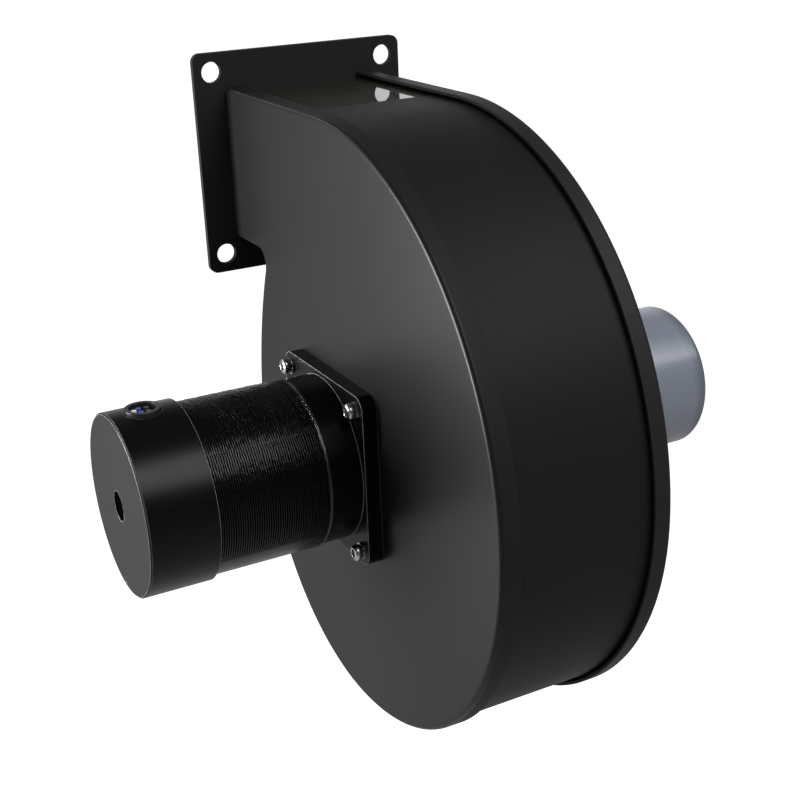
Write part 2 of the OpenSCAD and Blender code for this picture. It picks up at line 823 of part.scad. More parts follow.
module impeller_blades() {
    plate_y = back_y + back_t;
    color("#9a9ea2") placed() intersection() {
        slab(plate_y, shroud_eye_y + 2) for (i = [0:blades - 1]) rotate(i * 360 / blades) blade_arc();
        turned() polygon([
            [blade_in_r - 2, plate_y - 1], [impeller_r + 1, plate_y - 1],
            [impeller_r + 1, shroud_y(impeller_r + 1) - fit_gap],
            [blade_in_r - 2, shroud_y(blade_in_r - 2) - fit_gap]
        ]);
    }
}

module impeller_shroud() {
    neck_r = eye_r + shroud_t;
    color("#9a9ea2") placed() turned() polygon([
        [impeller_r, shroud_rim_y], [eye_r, shroud_eye_y], [eye_r, shroud_eye_y + neck_h],
        [neck_r, shroud_eye_y + neck_h], [neck_r, shroud_y(neck_r) + shroud_t],
        [impeller_r, shroud_rim_y + shroud_t]
    ]);
}

module inlet_cone() {
    tip_y = rear_y - cone_depth;
    color("#4a4d51") placed() difference() {
        turned() polygon([
            [pipe_in_r, rear_y], [foot_r - 1, rear_y], [foot_r - 1, cone_y],
            [pipe_in_r + sheet_t, cone_y], [pipe_in_r, tip_y], [pipe_in_r - sheet_t, tip_y]
        ]);
        for (a = corners) at_angle(a, foot_screw_r) ring(hole_r, 0, cone_y - eps, rear_y + eps);
    }
}

module inlet_gasket() {
    color("#151515") placed() difference() {
        ring(foot_r - 0.5, pipe_in_r + sheet_t, gasket_y, foot_y);
        for (a = corners) at_angle(a, foot_screw_r) ring(hole_r, 0, gasket_y - eps, foot_y + eps);
    }
}

module inlet_pipe() {
    rim_y = pipe_end_y - pipe_wall;
    color("#79828c") placed() difference() {
        turned() {
            translate([pipe_in_r, foot_y]) square([foot_r - pipe_in_r, foot_t]);
            translate([pipe_in_r, foot_y]) square([pipe_wall, rim_y - foot_y]);
            quarter([pipe_in_r, rim_y], pipe_wall, 0);
        }
        for (a = corners) at_angle(a, foot_screw_r) ring(hole_r, 0, foot_y - eps, foot_y + foot_t + eps);
    }
}

module inlet_screws() {
    color("#c6c9cc") placed() for (a = corners) at_angle(a, foot_screw_r)
        screw(foot_y + foot_t, cone_y - nut_h - screw_tip, screw_r, head_r, head_h);
}

module inlet_nuts() {
    color("#b2b5b9") placed() for (a = corners) at_angle(a, foot_screw_r) nut(cone_y - nut_h);
}

front_cover();
scroll_band();
rear_cover();
outlet_flange();
motor_doubler();
motor_bell();
bell_ring();
stator_stack();
slot_insulators();
stator_coils();
rear_cap();
tie_screws();
mount_screws();
mount_washers();
mount_nuts();
sensor_board();
hall_sensors();
cable_grommet();
lead_blue();
lead_white();
lead_dark();
bearing_outer_rings();
bearing_shields();
bearing_inner_rings();
front_bearing_balls();
front_bearing_cage();
rear_bearing_balls();
rear_bearing_cage();
wave_washer();
shaft();
retaining_rings();
rotor_core();
rotor_magnets();
impeller_hub();
hub_set_screw();
hub_rivets();
impeller_back_plate();
impeller_blades();
impeller_shroud();
inlet_cone();
inlet_gasket();
inlet_pipe();
inlet_screws();
inlet_nuts();
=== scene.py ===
import json
import math
import bmesh
import bpy
from mathutils import Matrix, Vector


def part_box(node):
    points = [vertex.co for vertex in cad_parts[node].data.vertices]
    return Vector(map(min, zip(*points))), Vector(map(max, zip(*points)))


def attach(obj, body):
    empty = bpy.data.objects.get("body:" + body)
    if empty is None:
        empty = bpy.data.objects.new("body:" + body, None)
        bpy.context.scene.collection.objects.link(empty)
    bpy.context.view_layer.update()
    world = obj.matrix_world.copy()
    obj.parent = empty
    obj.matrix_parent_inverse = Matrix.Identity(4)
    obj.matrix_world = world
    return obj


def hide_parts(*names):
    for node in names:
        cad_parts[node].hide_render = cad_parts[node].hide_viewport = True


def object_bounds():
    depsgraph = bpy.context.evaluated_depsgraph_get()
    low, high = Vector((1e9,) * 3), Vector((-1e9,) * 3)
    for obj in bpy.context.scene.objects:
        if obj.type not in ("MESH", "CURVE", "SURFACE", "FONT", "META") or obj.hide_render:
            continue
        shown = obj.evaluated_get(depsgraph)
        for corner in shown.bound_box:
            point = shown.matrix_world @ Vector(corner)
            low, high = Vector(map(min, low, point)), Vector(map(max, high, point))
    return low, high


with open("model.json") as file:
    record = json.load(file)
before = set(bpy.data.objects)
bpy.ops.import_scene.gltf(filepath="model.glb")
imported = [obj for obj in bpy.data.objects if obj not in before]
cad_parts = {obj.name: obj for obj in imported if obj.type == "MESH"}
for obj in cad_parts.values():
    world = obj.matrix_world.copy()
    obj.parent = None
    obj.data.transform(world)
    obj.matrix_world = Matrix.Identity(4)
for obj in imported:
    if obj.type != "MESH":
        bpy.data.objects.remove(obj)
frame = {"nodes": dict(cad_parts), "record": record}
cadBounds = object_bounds()
print("frame loaded with", len(frame["nodes"]), "nodes")

mm = 0.001
shaftLow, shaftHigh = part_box("shaft")
axisX = (shaftLow.x + shaftHigh.x) / 2
axisZ = (shaftLow.z + shaftHigh.z) / 2
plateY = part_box("front_cover")[0].y  # outer face of the plate that carries the motor
creaseAngle = math.radians(28)  # an edge that bends more than this stays sharp
roundSides = 48  # sides of the turned screws and nuts


def onShaft(x, y, z):  # millimetres from the shaft's line and from the plate's outer face
    return Vector((axisX + x * mm, plateY + y * mm, axisZ + z * mm))


# Camera of the photograph: it looks down on the motor's side of the blower
photoCamera = {
    "place": (0.44207, -0.19359, 0.09369),
    "right": (0.472244, 0.880725, -0.036165),
    "up": (-0.307972, 0.203299, 0.929421),
    "lens": 60.71,
    "sensor": 36.0,
    "clip": (0.01, 50.0),
}


def makeCamera(look):
    data = bpy.data.cameras.new("photoCamera")
    data.lens = look["lens"]
    data.sensor_width = look["sensor"]
    data.clip_start, data.clip_end = look["clip"]
    camera = bpy.data.objects.new("photoCamera", data)
    bpy.context.scene.collection.objects.link(camera)
    right, up = Vector(look["right"]), Vector(look["up"])
    turn = Matrix((right, up, right.cross(up))).transposed()
    camera.matrix_world = Matrix.Translation(look["place"]) @ turn.to_4x4()
    bpy.context.scene.camera = camera


makeCamera(photoCamera)
bpy.context.scene.view_settings.view_transform = "Standard"
print("camera placed")


# Node helpers: a value may be a number, a colour, a datablock or another node's socket
def feed(tree, socket, value):
    if isinstance(value, bpy.types.NodeSocket):
        tree.links.new(value, socket)
    else:
        socket.default_value = value


def addNode(tree, kind, inputs=None, **settings):
    node = tree.nodes.new(kind)
    for key, value in settings.items():
        setattr(node, key, value)
    for label, value in (inputs or {}).items():
        feed(tree, next(s for s in node.inputs if s.name == label and s.enabled), value)
    return node


def result(node):
    return next(s for s in node.outputs if s.enabled)


def combine(tree, operation, *values, kind="ShaderNodeMath", **settings):
    node = addNode(tree, kind, operation=operation, **settings)
    for socket, value in zip(node.inputs, values):
        feed(tree, socket, value)
    return result(node)


def combineVectors(tree, operation, *values):
    return combine(tree, operation, *values, kind="ShaderNodeVectorMath")


def ramp(tree, value, before, after):
    return result(addNode(tree, "ShaderNodeMapRange", {
        "Value": value, "From Min": before[0], "From Max": before[1],
        "To Min": after[0], "To Max": after[1]}))


def objectPlace(tree):
    return addNode(tree, "ShaderNodeTexCoord").outputs["Object"]


def splitAxes(tree, place):
    return addNode(tree, "ShaderNodeSeparateXYZ", {"Vector": place}).outputs


def newGroup(name, kind, inputs, outputs):
    group = bpy.data.node_groups.new(name, kind)
    for label, socketType, value in inputs:
        socket = group.interface.new_socket(label, in_out="INPUT", socket_type=socketType)
        if value is not None:
            socket.default_value = value
    for label, socketType in outputs:
        group.interface.new_socket(label, in_out="OUTPUT", socket_type=socketType)
    return group, group.nodes.new("NodeGroupInput"), group.nodes.new("NodeGroupOutput")


# Shader groups that the finishes share
def makeSurfaceGrain():
    group, start, end = newGroup(
        "surfaceGrain", "ShaderNodeTree",
        [("Grain Scale", "NodeSocketFloat", 900.0), ("Blotch Scale", "NodeSocketFloat", 18.0)],
        [("Grain", "NodeSocketFloat"), ("Blotch", "NodeSocketFloat")],
    )
    place = objectPlace(group)
    grain = addNode(group, "ShaderNodeTexNoise", {
        "Vector": place, "Scale": start.outputs["Grain Scale"], "Detail": 3.0, "Roughness": 0.55})
    blotch = addNode(group, "ShaderNodeTexNoise", {
        "Vector": place, "Scale": start.outputs["Blotch Scale"], "Detail": 4.0, "Roughness": 0.6})
    group.links.new(grain.outputs[0], end.inputs["Grain"])
    group.links.new(blotch.outputs[0], end.inputs["Blotch"])
    return group


def makeRoundedEdge():
    group, start, end = newGroup(
        "roundedEdge", "ShaderNodeTree",
        [("Radius", "NodeSocketFloat", 0.0003), ("Reach", "NodeSocketFloat", 5.0)],
        [("Normal", "NodeSocketVector"), ("Edge", "NodeSocketFloat")],
    )
    bevel = addNode(group, "ShaderNodeBevel", {"Radius": start.outputs["Radius"]}, samples=6)
    rounded = bevel.outputs["Normal"]
    plain = addNode(group, "ShaderNodeNewGeometry").outputs["Normal"]
    turned = combine(group, "SUBTRACT", 1.0, combineVectors(group, "DOT_PRODUCT", rounded, plain))
    edge = combine(group, "MULTIPLY", turned, start.outputs["Reach"], use_clamp=True)
    group.links.new(rounded, end.inputs["Normal"])
    group.links.new(edge, end.inputs["Edge"])
    return group


def makeTurnedLines():
    group, start, end = newGroup(
        "turnedLines", "ShaderNodeTree",
        [("Fineness", "NodeSocketFloat", 2500.0), ("Streak", "NodeSocketFloat", 0.04)],
        [("Lines", "NodeSocketFloat")],
    )
    streak = start.outputs["Streak"]
    stretch = addNode(group, "ShaderNodeCombineXYZ", {"X": streak, "Y": 1.0, "Z": streak})
    place = combineVectors(group, "MULTIPLY", objectPlace(group), stretch.outputs[0])
    lines = addNode(group, "ShaderNodeTexNoise", {
        "Vector": place, "Scale": start.outputs["Fineness"], "Detail": 2.0})
    group.links.new(lines.outputs[0], end.inputs["Lines"])
    return group


# 1 where a spot lies between two places along X and above one along Z, else 0
def makePolishedField():
    group, start, end = newGroup(
        "polishedField", "ShaderNodeTree",
        [("Low X", "NodeSocketFloat", 0.0), ("High X", "NodeSocketFloat", 0.05),
         ("Low Z", "NodeSocketFloat", 0.02)],
        [("Field", "NodeSocketFloat")],
    )
    axes = splitAxes(group, objectPlace(group))
    pastLow = combine(group, "GREATER_THAN", axes["X"], start.outputs["Low X"])
    beforeHigh = combine(group, "LESS_THAN", axes["X"], start.outputs["High X"])
    above = combine(group, "GREATER_THAN", axes["Z"], start.outputs["Low Z"])
    between = combine(group, "MULTIPLY", pastLow, beforeHigh)
    group.links.new(combine(group, "MULTIPLY", between, above), end.inputs["Field"])
    return group


surfaceGrain = makeSurfaceGrain()
roundedEdge = makeRoundedEdge()
turnedLines = makeTurnedLines()
polishedField = makePolishedField()


def startMaterial(name):
    material = bpy.data.materials.new(name)
    material.use_nodes = True
    tree = material.node_tree
    tree.nodes.clear()
    shader = tree.nodes.new("ShaderNodeBsdfPrincipled")
    output = tree.nodes.new("ShaderNodeOutputMaterial")
    tree.links.new(shader.outputs["BSDF"], output.inputs["Surface"])
    return material, tree, shader


def placeGroup(tree, group, **values):
    node = tree.nodes.new("ShaderNodeGroup")
    node.node_tree = group
    for label, value in values.items():
        node.inputs[label.replace("_", " ")].default_value = value
    return node


def blend(tree, factor, first, second):
    return result(addNode(tree, "ShaderNodeMix", {"Factor": factor, "A": first, "B": second},
                          data_type="RGBA"))


def opaque(colour):
    return (*colour, 1.0)


noiseSpan = (0.3, 0.7)  # a noise seldom leaves this span


# Leads colour, roughness and a fine skin over the rounded edges into the shader
def dressShader(tree, shader, look, colour, rough, height, normal):
    skin = addNode(tree, "ShaderNodeBump", {
        "Strength": look["bump"], "Distance": look["depth"] * mm, "Height": height, "Normal": normal})
    tree.links.new(colour, shader.inputs["Base Color"])
    tree.links.new(rough, shader.inputs["Roughness"])
    tree.links.new(skin.outputs[0], shader.inputs["Normal"])


# Paints and plastics: a body colour with soft patches, a fine skin, and edges painted lighter, partly as
# wear and partly as a painted highlight
def coatedFinish(name, look):
    material, tree, shader = startMaterial(name)
    grain = placeGroup(tree, surfaceGrain, Grain_Scale=look["grain"], Blotch_Scale=look["blotch"])
    edge = placeGroup(tree, roundedEdge, Radius=look["edge"] * mm)
    colour = blend(tree, grain.outputs["Blotch"], opaque(look["colour"]), opaque(look["patch"]))
    # painted highlight and wear: the rounded edges take a lighter colour
    colour = blend(tree, edge.outputs["Edge"], colour, opaque(look["edgeWearAndHighlight"]))
    rough = ramp(tree, grain.outputs["Blotch"], noiseSpan, look["rough"])
    if "rim" in look:  # painted shade: a darker colour towards the end of the pipe, where its rounded end turns away from the light
        near = ramp(tree, splitAxes(tree, objectPlace(tree))["Y"], look["rimPlace"], (0.0, 1.0))
        colour = blend(tree, near, colour, opaque(look["rim"]))
    if "polished" in look:  # the duct's top is glossy, and its colour carries a painted olive reflection of the flange
        lowX, highX, lowZ = look["polished"]
        shine = placeGroup(tree, polishedField, Low_X=lowX, High_X=highX, Low_Z=lowZ).outputs["Field"]
        # painted reflection: an olive tint in the base colour where the flange is mirrored in the duct's
        # top
        colour = blend(tree, shine, colour, opaque(look["paintedFlangeReflection"]))
        tree.links.new(shine, shader.inputs["Coat Weight"])
        shader.inputs["Coat Roughness"].default_value = look["shineRough"]
        shader.inputs["Coat IOR"].default_value = look["shineIor"]
    if "lip" in look:  # the bent lip behind the plate is duller
        start, end = (plateY + y * mm for y in look["lipPlace"])
        depth = splitAxes(tree, objectPlace(tree))["Y"]
        rough = ramp(tree, depth, (start, end), (rough, look["lip"]))
    dressShader(tree, shader, look, colour, rough, grain.outputs["Grain"], edge.outputs["Normal"])
    shader.inputs["Specular IOR Level"].default_value = look["gloss"]
    return material


# Bare and plated metals: turned lines round the shaft's direction, with patches in tone and polish
def metalFinish(name, look):
    material, tree, shader = startMaterial(name)
    grain = placeGroup(tree, surfaceGrain, Grain_Scale=look["grain"], Blotch_Scale=look["blotch"])
    lines = placeGroup(tree, turnedLines, Fineness=look["fineness"], Streak=look["streak"])
    edge = placeGroup(tree, roundedEdge, Radius=look["edge"] * mm)
    tone = blend(tree, grain.outputs["Blotch"], opaque(look["colour"]), opaque(look["patch"]))
    shade = blend(tree, lines.outputs["Lines"], tone, opaque(look["line"]))
    rough = ramp(tree, lines.outputs["Lines"], noiseSpan, look["rough"])
    dressShader(tree, shader, look, shade, rough, lines.outputs["Lines"], edge.outputs["Normal"])
    shader.inputs["Metallic"].default_value = 1.0
    return material


# Edge, depth and lipPlace are in millimetres, rimPlace and polished in metres of the frame
coats = {
    "cover_paint": {
        "colour": (0.0050, 0.0051, 0.0054), "patch": (0.0062, 0.0062, 0.0065),
        "edgeWearAndHighlight": (0.02, 0.02, 0.021), "rough": (0.34, 0.37), "gloss": 0.16,
        "lip": 0.66, "lipPlace": (0.7, 1.6),
        "grain": 700.0, "blotch": 9.0, "edge": 0.25, "bump": 0.04, "depth": 0.02},
    "band_paint": {
        "colour": (0.0068, 0.0069, 0.0073), "patch": (0.0080, 0.0080, 0.0084),
        "edgeWearAndHighlight": (0.03, 0.03, 0.031), "rough": (0.50, 0.58), "gloss": 0.09,
        "grain": 700.0, "blotch": 11.0, "edge": 0.25, "bump": 0.05, "depth": 0.03,
        # the olive colour of the duct's polished top is a painted reflection of the flange
        "polished": (-0.01, axisX - 0.023, 0.0240), "paintedFlangeReflection": (0.0125, 0.0122, 0.0080),
        "shineRough": 0.03, "shineIor": 2.1},
    "rear_paint": {
        "colour": (0.0105, 0.0106, 0.0110), "patch": (0.0125, 0.0125, 0.0128),
        "edgeWearAndHighlight": (0.05, 0.05, 0.052), "rough": (0.46, 0.54), "gloss": 0.10,
        "grain": 700.0, "blotch": 10.0, "edge": 0.3, "bump": 0.05, "depth": 0.03},
    "flange_paint": {
        "colour": (0.0095, 0.0096, 0.0098), "patch": (0.0118, 0.0117, 0.0116),
        "edgeWearAndHighlight": (0.06, 0.06, 0.062), "rough": (0.5, 0.6), "gloss": 0.08,
        "grain": 800.0, "blotch": 14.0, "edge": 0.3, "bump": 0.08, "depth": 0.03},
    "motor_paint": {
        "colour": (0.0012, 0.0012, 0.0014), "patch": (0.0020, 0.0020, 0.0022),
        # the motor's edges are painted far lighter than its body: a painted highlight on the chamfers
        # and corner lines
        "edgeWearAndHighlight": (0.30, 0.30, 0.31), "rough": (0.29, 0.33), "gloss": 0.13,
        "grain": 1100.0, "blotch": 20.0, "edge": 0.35, "bump": 0.04, "depth": 0.02},
    "stack_paint": {
        "colour": (0.0014, 0.0014, 0.0016), "patch": (0.0030, 0.0030, 0.0032),
        "edgeWearAndHighlight": (0.02, 0.02, 0.021), "rough": (0.24, 0.32), "gloss": 0.18,
        "grain": 900.0, "blotch": 90.0, "edge": 0.12, "bump": 0.3, "depth": 0.08},
    "pipe_plastic": {
        "colour": (0.137, 0.153, 0.188), "patch": (0.141, 0.157, 0.192),
        # the darker colour towards the pipe's end is painted shade on its rounded end
        "edgeWearAndHighlight": (0.15, 0.168, 0.2), "rim": (0.055, 0.062, 0.078), "rimPlace": (0.0965, 0.1025),
        "rough": (0.25, 0.27), "gloss": 0.5,
        "grain": 900.0, "blotch": 25.0, "edge": 0.3, "bump": 0.05, "depth": 0.02},
    "grommet_plastic": {
        "colour": (0.010, 0.010, 0.012), "patch": (0.016, 0.016, 0.018),
        "edgeWearAndHighlight": (0.03, 0.03, 0.032), "rough": (0.28, 0.36), "gloss": 0.25,
        "grain": 1400.0, "blotch": 160.0, "edge": 0.3, "bump": 0.15, "depth": 0.03},
    "gasket_rubber": {
        "colour": (0.012, 0.012, 0.012), "patch": (0.02, 0.02, 0.02),
        "edgeWearAndHighlight": (0.03, 0.03, 0.03), "rough": (0.7, 0.85), "gloss": 0.3,
        "grain": 1600.0, "blotch": 90.0, "edge": 0.2, "bump": 0.4, "depth": 0.05},
    "insulator_plastic": {
        "colour": (0.62, 0.57, 0.42), "patch": (0.7, 0.65, 0.5),
        "edgeWearAndHighlight": (0.78, 0.74, 0.6), "rough": (0.4, 0.5), "gloss": 0.5,
        "grain": 900.0, "blotch": 90.0, "edge": 0.15, "bump": 0.1, "depth": 0.03},
    "board_green": {
        "colour": (0.02, 0.12, 0.05), "patch": (0.03, 0.15, 0.07),
        "edgeWearAndHighlight": (0.3, 0.28, 0.16), "rough": (0.25, 0.35), "gloss": 0.5,
        "grain": 600.0, "blotch": 200.0, "edge": 0.1, "bump": 0.1, "depth": 0.02},
    "sensor_plastic": {
        "colour": (0.015, 0.015, 0.015), "patch": (0.022, 0.022, 0.022),
        "edgeWearAndHighlight": (0.05, 0.05, 0.05), "rough": (0.5, 0.6), "gloss": 0.4,
        "grain": 1500.0, "blotch": 300.0, "edge": 0.1, "bump": 0.15, "depth": 0.02},
    "blue_insulation": {
        "colour": (0.014, 0.028, 0.17), "patch": (0.02, 0.04, 0.22),
        "edgeWearAndHighlight": (0.05, 0.09, 0.32), "rough": (0.3, 0.4), "gloss": 0.5,
        "grain": 1500.0, "blotch": 300.0, "edge": 0.15, "bump": 0.1, "depth": 0.02},
    "white_insulation": {
        "colour": (0.42, 0.44, 0.46), "patch": (0.5, 0.52, 0.54),
        "edgeWearAndHighlight": (0.6, 0.62, 0.64), "rough": (0.3, 0.4), "gloss": 0.5,
        "grain": 1500.0, "blotch": 300.0, "edge": 0.15, "bump": 0.1, "depth": 0.02},
    "dark_insulation": {
        "colour": (0.015, 0.02, 0.018), "patch": (0.025, 0.03, 0.028),
        "edgeWearAndHighlight": (0.06, 0.07, 0.065), "rough": (0.3, 0.4), "gloss": 0.5,
        "grain": 1500.0, "blotch": 300.0, "edge": 0.15, "bump": 0.1, "depth": 0.02},
}
metals = {
    "bright_steel": {
        "colour": (0.62, 0.63, 0.65), "patch": (0.7, 0.71, 0.73), "line": (0.5, 0.51, 0.53),
        "rough": (0.16, 0.26), "grain": 900.0, "blotch": 140.0, "fineness": 3000.0, "streak": 0.05,
        "edge": 0.15, "bump": 0.08, "depth": 0.01},
    "ring_steel": {
        "colour": (0.16, 0.16, 0.165), "patch": (0.3, 0.3, 0.31), "line": (0.2, 0.2, 0.21),
        "rough": (0.18, 0.28), "grain": 900.0, "blotch": 60.0, "fineness": 3000.0, "streak": 0.05,
        "edge": 0.1, "bump": 0.05, "depth": 0.01},
    "screw_steel": {
        "colour": (0.46, 0.47, 0.48), "patch": (0.12, 0.12, 0.13), "line": (0.6, 0.61, 0.62),
        "rough": (0.14, 0.3), "grain": 900.0, "blotch": 420.0, "fineness": 900.0, "streak": 0.9,
        "edge": 0.3, "bump": 0.5, "depth": 0.12},
    "zinc_steel": {
        "colour": (0.5, 0.52, 0.55), "patch": (0.62, 0.62, 0.6), "line": (0.42, 0.44, 0.47),
        "rough": (0.26, 0.38), "grain": 900.0, "blotch": 70.0, "fineness": 1800.0, "streak": 0.6,
        "edge": 0.15, "bump": 0.1, "depth": 0.01},
    "core_steel": {
        "colour": (0.32, 0.33, 0.35), "patch": (0.4, 0.41, 0.42), "line": (0.24, 0.25, 0.27),
        "rough": (0.35, 0.5), "grain": 900.0, "blotch": 70.0, "fineness": 2000.0, "streak": 0.1,
        "edge": 0.15, "bump": 0.15, "depth": 0.01},
    "impeller_aluminium": {
        "colour": (0.55, 0.56, 0.58), "patch": (0.66, 0.67, 0.68), "line": (0.48, 0.49, 0.5),
        "rough": (0.3, 0.45), "grain": 700.0, "blotch": 40.0, "fineness": 1500.0, "streak": 0.8,
        "edge": 0.2, "bump": 0.12, "depth": 0.01},
    "magnet_ferrite": {
        "colour": (0.07, 0.07, 0.075), "patch": (0.1, 0.1, 0.105), "line": (0.05, 0.05, 0.055),
        "rough": (0.45, 0.6), "grain": 900.0, "blotch": 90.0, "fineness": 1800.0, "streak": 0.5,
        "edge": 0.15, "bump": 0.2, "depth": 0.01},
    "cage_brass": {
        "colour": (0.5, 0.34, 0.11), "patch": (0.6, 0.42, 0.15), "line": (0.4, 0.26, 0.08),
        "rough": (0.25, 0.4), "grain": 900.0, "blotch": 160.0, "fineness": 2000.0, "streak": 0.3,
        "edge": 0.1, "bump": 0.1, "depth": 0.01},
    "coil_copper": {
        "colour": (0.62, 0.2, 0.06), "patch": (0.72, 0.27, 0.09), "line": (0.45, 0.13, 0.04),
        "rough": (0.18, 0.3), "grain": 900.0, "blotch": 200.0, "fineness": 1500.0, "streak": 0.5,
        "edge": 0.1, "bump": 0.05, "depth": 0.01},
}
finishes = {slot: coatedFinish(slot, look) for slot, look in coats.items()}
finishes.update({slot: metalFinish(slot, look) for slot, look in metals.items()})
print("finishes made:", len(finishes))


# Geometry Nodes: soft shading for a carried-over node, whose loose triangles are joined first
def makeSoftShading():
    tree, start, end = newGroup(
        "softShading", "GeometryNodeTree",
        [("Geometry", "NodeSocketGeometry", None), ("Crease", "NodeSocketFloat", creaseAngle)],
        [("Geometry", "NodeSocketGeometry")],
    )
    mergeReach = 0.001 * mm
    joined = addNode(tree, "GeometryNodeMergeByDistance", {
        "Geometry": start.outputs["Geometry"], "Distance": mergeReach})
    plain = addNode(tree, "GeometryNodeRemoveAttribute", {
        "Geometry": joined.outputs[0], "Name": "custom_normal"})
    smooth = addNode(tree, "GeometryNodeSetShadeSmooth", {
        "Geometry": plain.outputs[0], "Shade Smooth": True}, domain="FACE")
    angle = addNode(tree, "GeometryNodeInputMeshEdgeAngle")
    crease = addNode(tree, "FunctionNodeCompare", {
        "A": angle.outputs["Unsigned Angle"], "B": start.outputs["Crease"]},
        data_type="FLOAT", operation="GREATER_THAN")
    sharp = addNode(tree, "GeometryNodeSetShadeSmooth", {
        "Geometry": smooth.outputs[0], "Selection": result(crease), "Shade Smooth": False},
        domain="EDGE")
    tree.links.new(sharp.outputs[0], end.inputs["Geometry"])
    return tree


# Geometry Nodes: one piece at each point, each copy turned about the shaft's direction by chance
def makeFastenerPattern():
    tree, start, end = newGroup(
        "fastenerPattern", "GeometryNodeTree",
        [("Geometry", "NodeSocketGeometry", None), ("Piece", "NodeSocketObject", None),
         ("Turn", "NodeSocketFloat", 0.0), ("Seed", "NodeSocketInt", 1),
         ("Finish", "NodeSocketMaterial", None)],
        [("Geometry", "NodeSocketGeometry")],
    )
    piece = addNode(tree, "GeometryNodeObjectInfo", {
        "Object": start.outputs["Piece"], "As Instance": True})
    turn = addNode(tree, "FunctionNodeRandomValue", {
        "Max": start.outputs["Turn"], "Seed": start.outputs["Seed"]}, data_type="FLOAT")
    spin = addNode(tree, "ShaderNodeCombineXYZ", {"Y": result(turn)})
    copies = addNode(tree, "GeometryNodeInstanceOnPoints", {
        "Points": start.outputs["Geometry"], "Instance": piece.outputs["Geometry"],
        "Rotation": spin.outputs[0]})
    real = addNode(tree, "GeometryNodeRealizeInstances", {"Geometry": copies.outputs[0]})
    coated = addNode(tree, "GeometryNodeSetMaterial", {
        "Geometry": real.outputs[0], "Material": start.outputs["Finish"]})
    tree.links.new(coated.outputs[0], end.inputs["Geometry"])
    return tree


# Geometry Nodes: a pile of laminations, each a little wider or narrower than the next. The outline
# is uneven in the upper part and calms down to Calm Share of that below a height.
def makeLaminationPile():
    tree, start, end = newGroup(
        "laminationPile", "GeometryNodeTree",
        [("Geometry", "NodeSocketGeometry", None), ("Count", "NodeSocketInt", 36),
         ("Pitch", "NodeSocketFloat", 0.001), ("Uneven", "NodeSocketFloat", 0.004),
         ("Wave", "NodeSocketFloat", 0.0001), ("Wave Scale", "NodeSocketFloat", 200.0),
         ("Wiggle", "NodeSocketFloat", 0.0001), ("Calm Below", "NodeSocketFloat", 0.0),
         ("Fade Start", "NodeSocketFloat", -0.004), ("Fade End", "NodeSocketFloat", 0.008),
         ("Calm Share", "NodeSocketFloat", 0.15), ("Inner Radius", "NodeSocketFloat", 0.0215),
         ("Seed", "NodeSocketInt", 3), ("Finish", "NodeSocketMaterial", None)],
        [("Geometry", "NodeSocketGeometry")],
    )
    size = start.outputs
    step = addNode(tree, "ShaderNodeCombineXYZ", {"Y": size["Pitch"]})
    line = addNode(tree, "GeometryNodeMeshLine", {
        "Count": size["Count"], "Offset": step.outputs[0]}, mode="OFFSET")
    copies = addNode(tree, "GeometryNodeInstanceOnPoints", {
        "Points": line.outputs[0], "Instance": size["Geometry"]})
    real = addNode(tree, "GeometryNodeRealizeInstances", {"Geometry": copies.outputs[0]})
    place = addNode(tree, "GeometryNodeInputPosition").outputs[0]
    axes = splitAxes(tree, place)
    flat = addNode(tree, "ShaderNodeCombineXYZ", {"X": axes["X"], "Z": axes["Z"]}).outputs[0]
    outer = addNode(tree, "FunctionNodeCompare", {
        "A": combineVectors(tree, "LENGTH", flat), "B": size["Inner Radius"]},
        data_type="FLOAT", operation="GREATER_THAN")
    # the noise reads y only in whole steps, so that each sheet keeps one outline through its
    # thickness; the fifth of a pitch keeps a sheet's lower face in its own step
    nudged = combine(tree, "MULTIPLY_ADD", size["Pitch"], 0.2, axes["Y"])
    sheet = combine(tree, "SNAP", nudged, size["Pitch"])
    spot = addNode(tree, "ShaderNodeCombineXYZ", {"X": axes["X"], "Y": sheet, "Z": axes["Z"]})
    above = combine(tree, "SUBTRACT", axes["Z"], size["Calm Below"])
    lively = ramp(tree, above, (size["Fade Start"], size["Fade End"]), (size["Calm Share"], 1.0))

    def unrest(source, detail, reach):
        noise = addNode(tree, "ShaderNodeTexNoise", {
            "Vector": source, "Scale": size["Wave Scale"], "Detail": detail}, noise_dimensions="3D")
        centred = combine(tree, "SUBTRACT", noise.outputs[0], 0.5)
        return combine(tree, "MULTIPLY", combine(tree, "MULTIPLY", centred, lively), reach)

    height = unrest(spot.outputs[0], 2.0, size["Wave"])
    along = unrest(place, 1.0, size["Wiggle"])
    number = combine(tree, "ADD", combine(tree, "DIVIDE", sheet, size["Pitch"]), 0.5)
    chance = addNode(tree, "FunctionNodeRandomValue", {
        "Min": -1.0, "ID": number, "Seed": size["Seed"]}, data_type="FLOAT")
    uneven = combine(tree, "MULTIPLY", result(chance), size["Uneven"])
    shift = addNode(tree, "ShaderNodeVectorMath", {
        "Vector": combineVectors(tree, "NORMALIZE", flat),
        "Scale": combine(tree, "ADD", height, uneven)}, operation="SCALE")
    sideways = addNode(tree, "ShaderNodeCombineXYZ", {"Y": along})
    moved = addNode(tree, "GeometryNodeSetPosition", {
        "Geometry": real.outputs[0], "Selection": result(outer),
        "Offset": combineVectors(tree, "ADD", shift.outputs[0], sideways.outputs[0])})
    coated = addNode(tree, "GeometryNodeSetMaterial", {
        "Geometry": moved.outputs[0], "Material": size["Finish"]})
    tree.links.new(coated.outputs[0], end.inputs["Geometry"])
    return tree


softShading = makeSoftShading()
fastenerPattern = makeFastenerPattern()
laminationPile = makeLaminationPile()


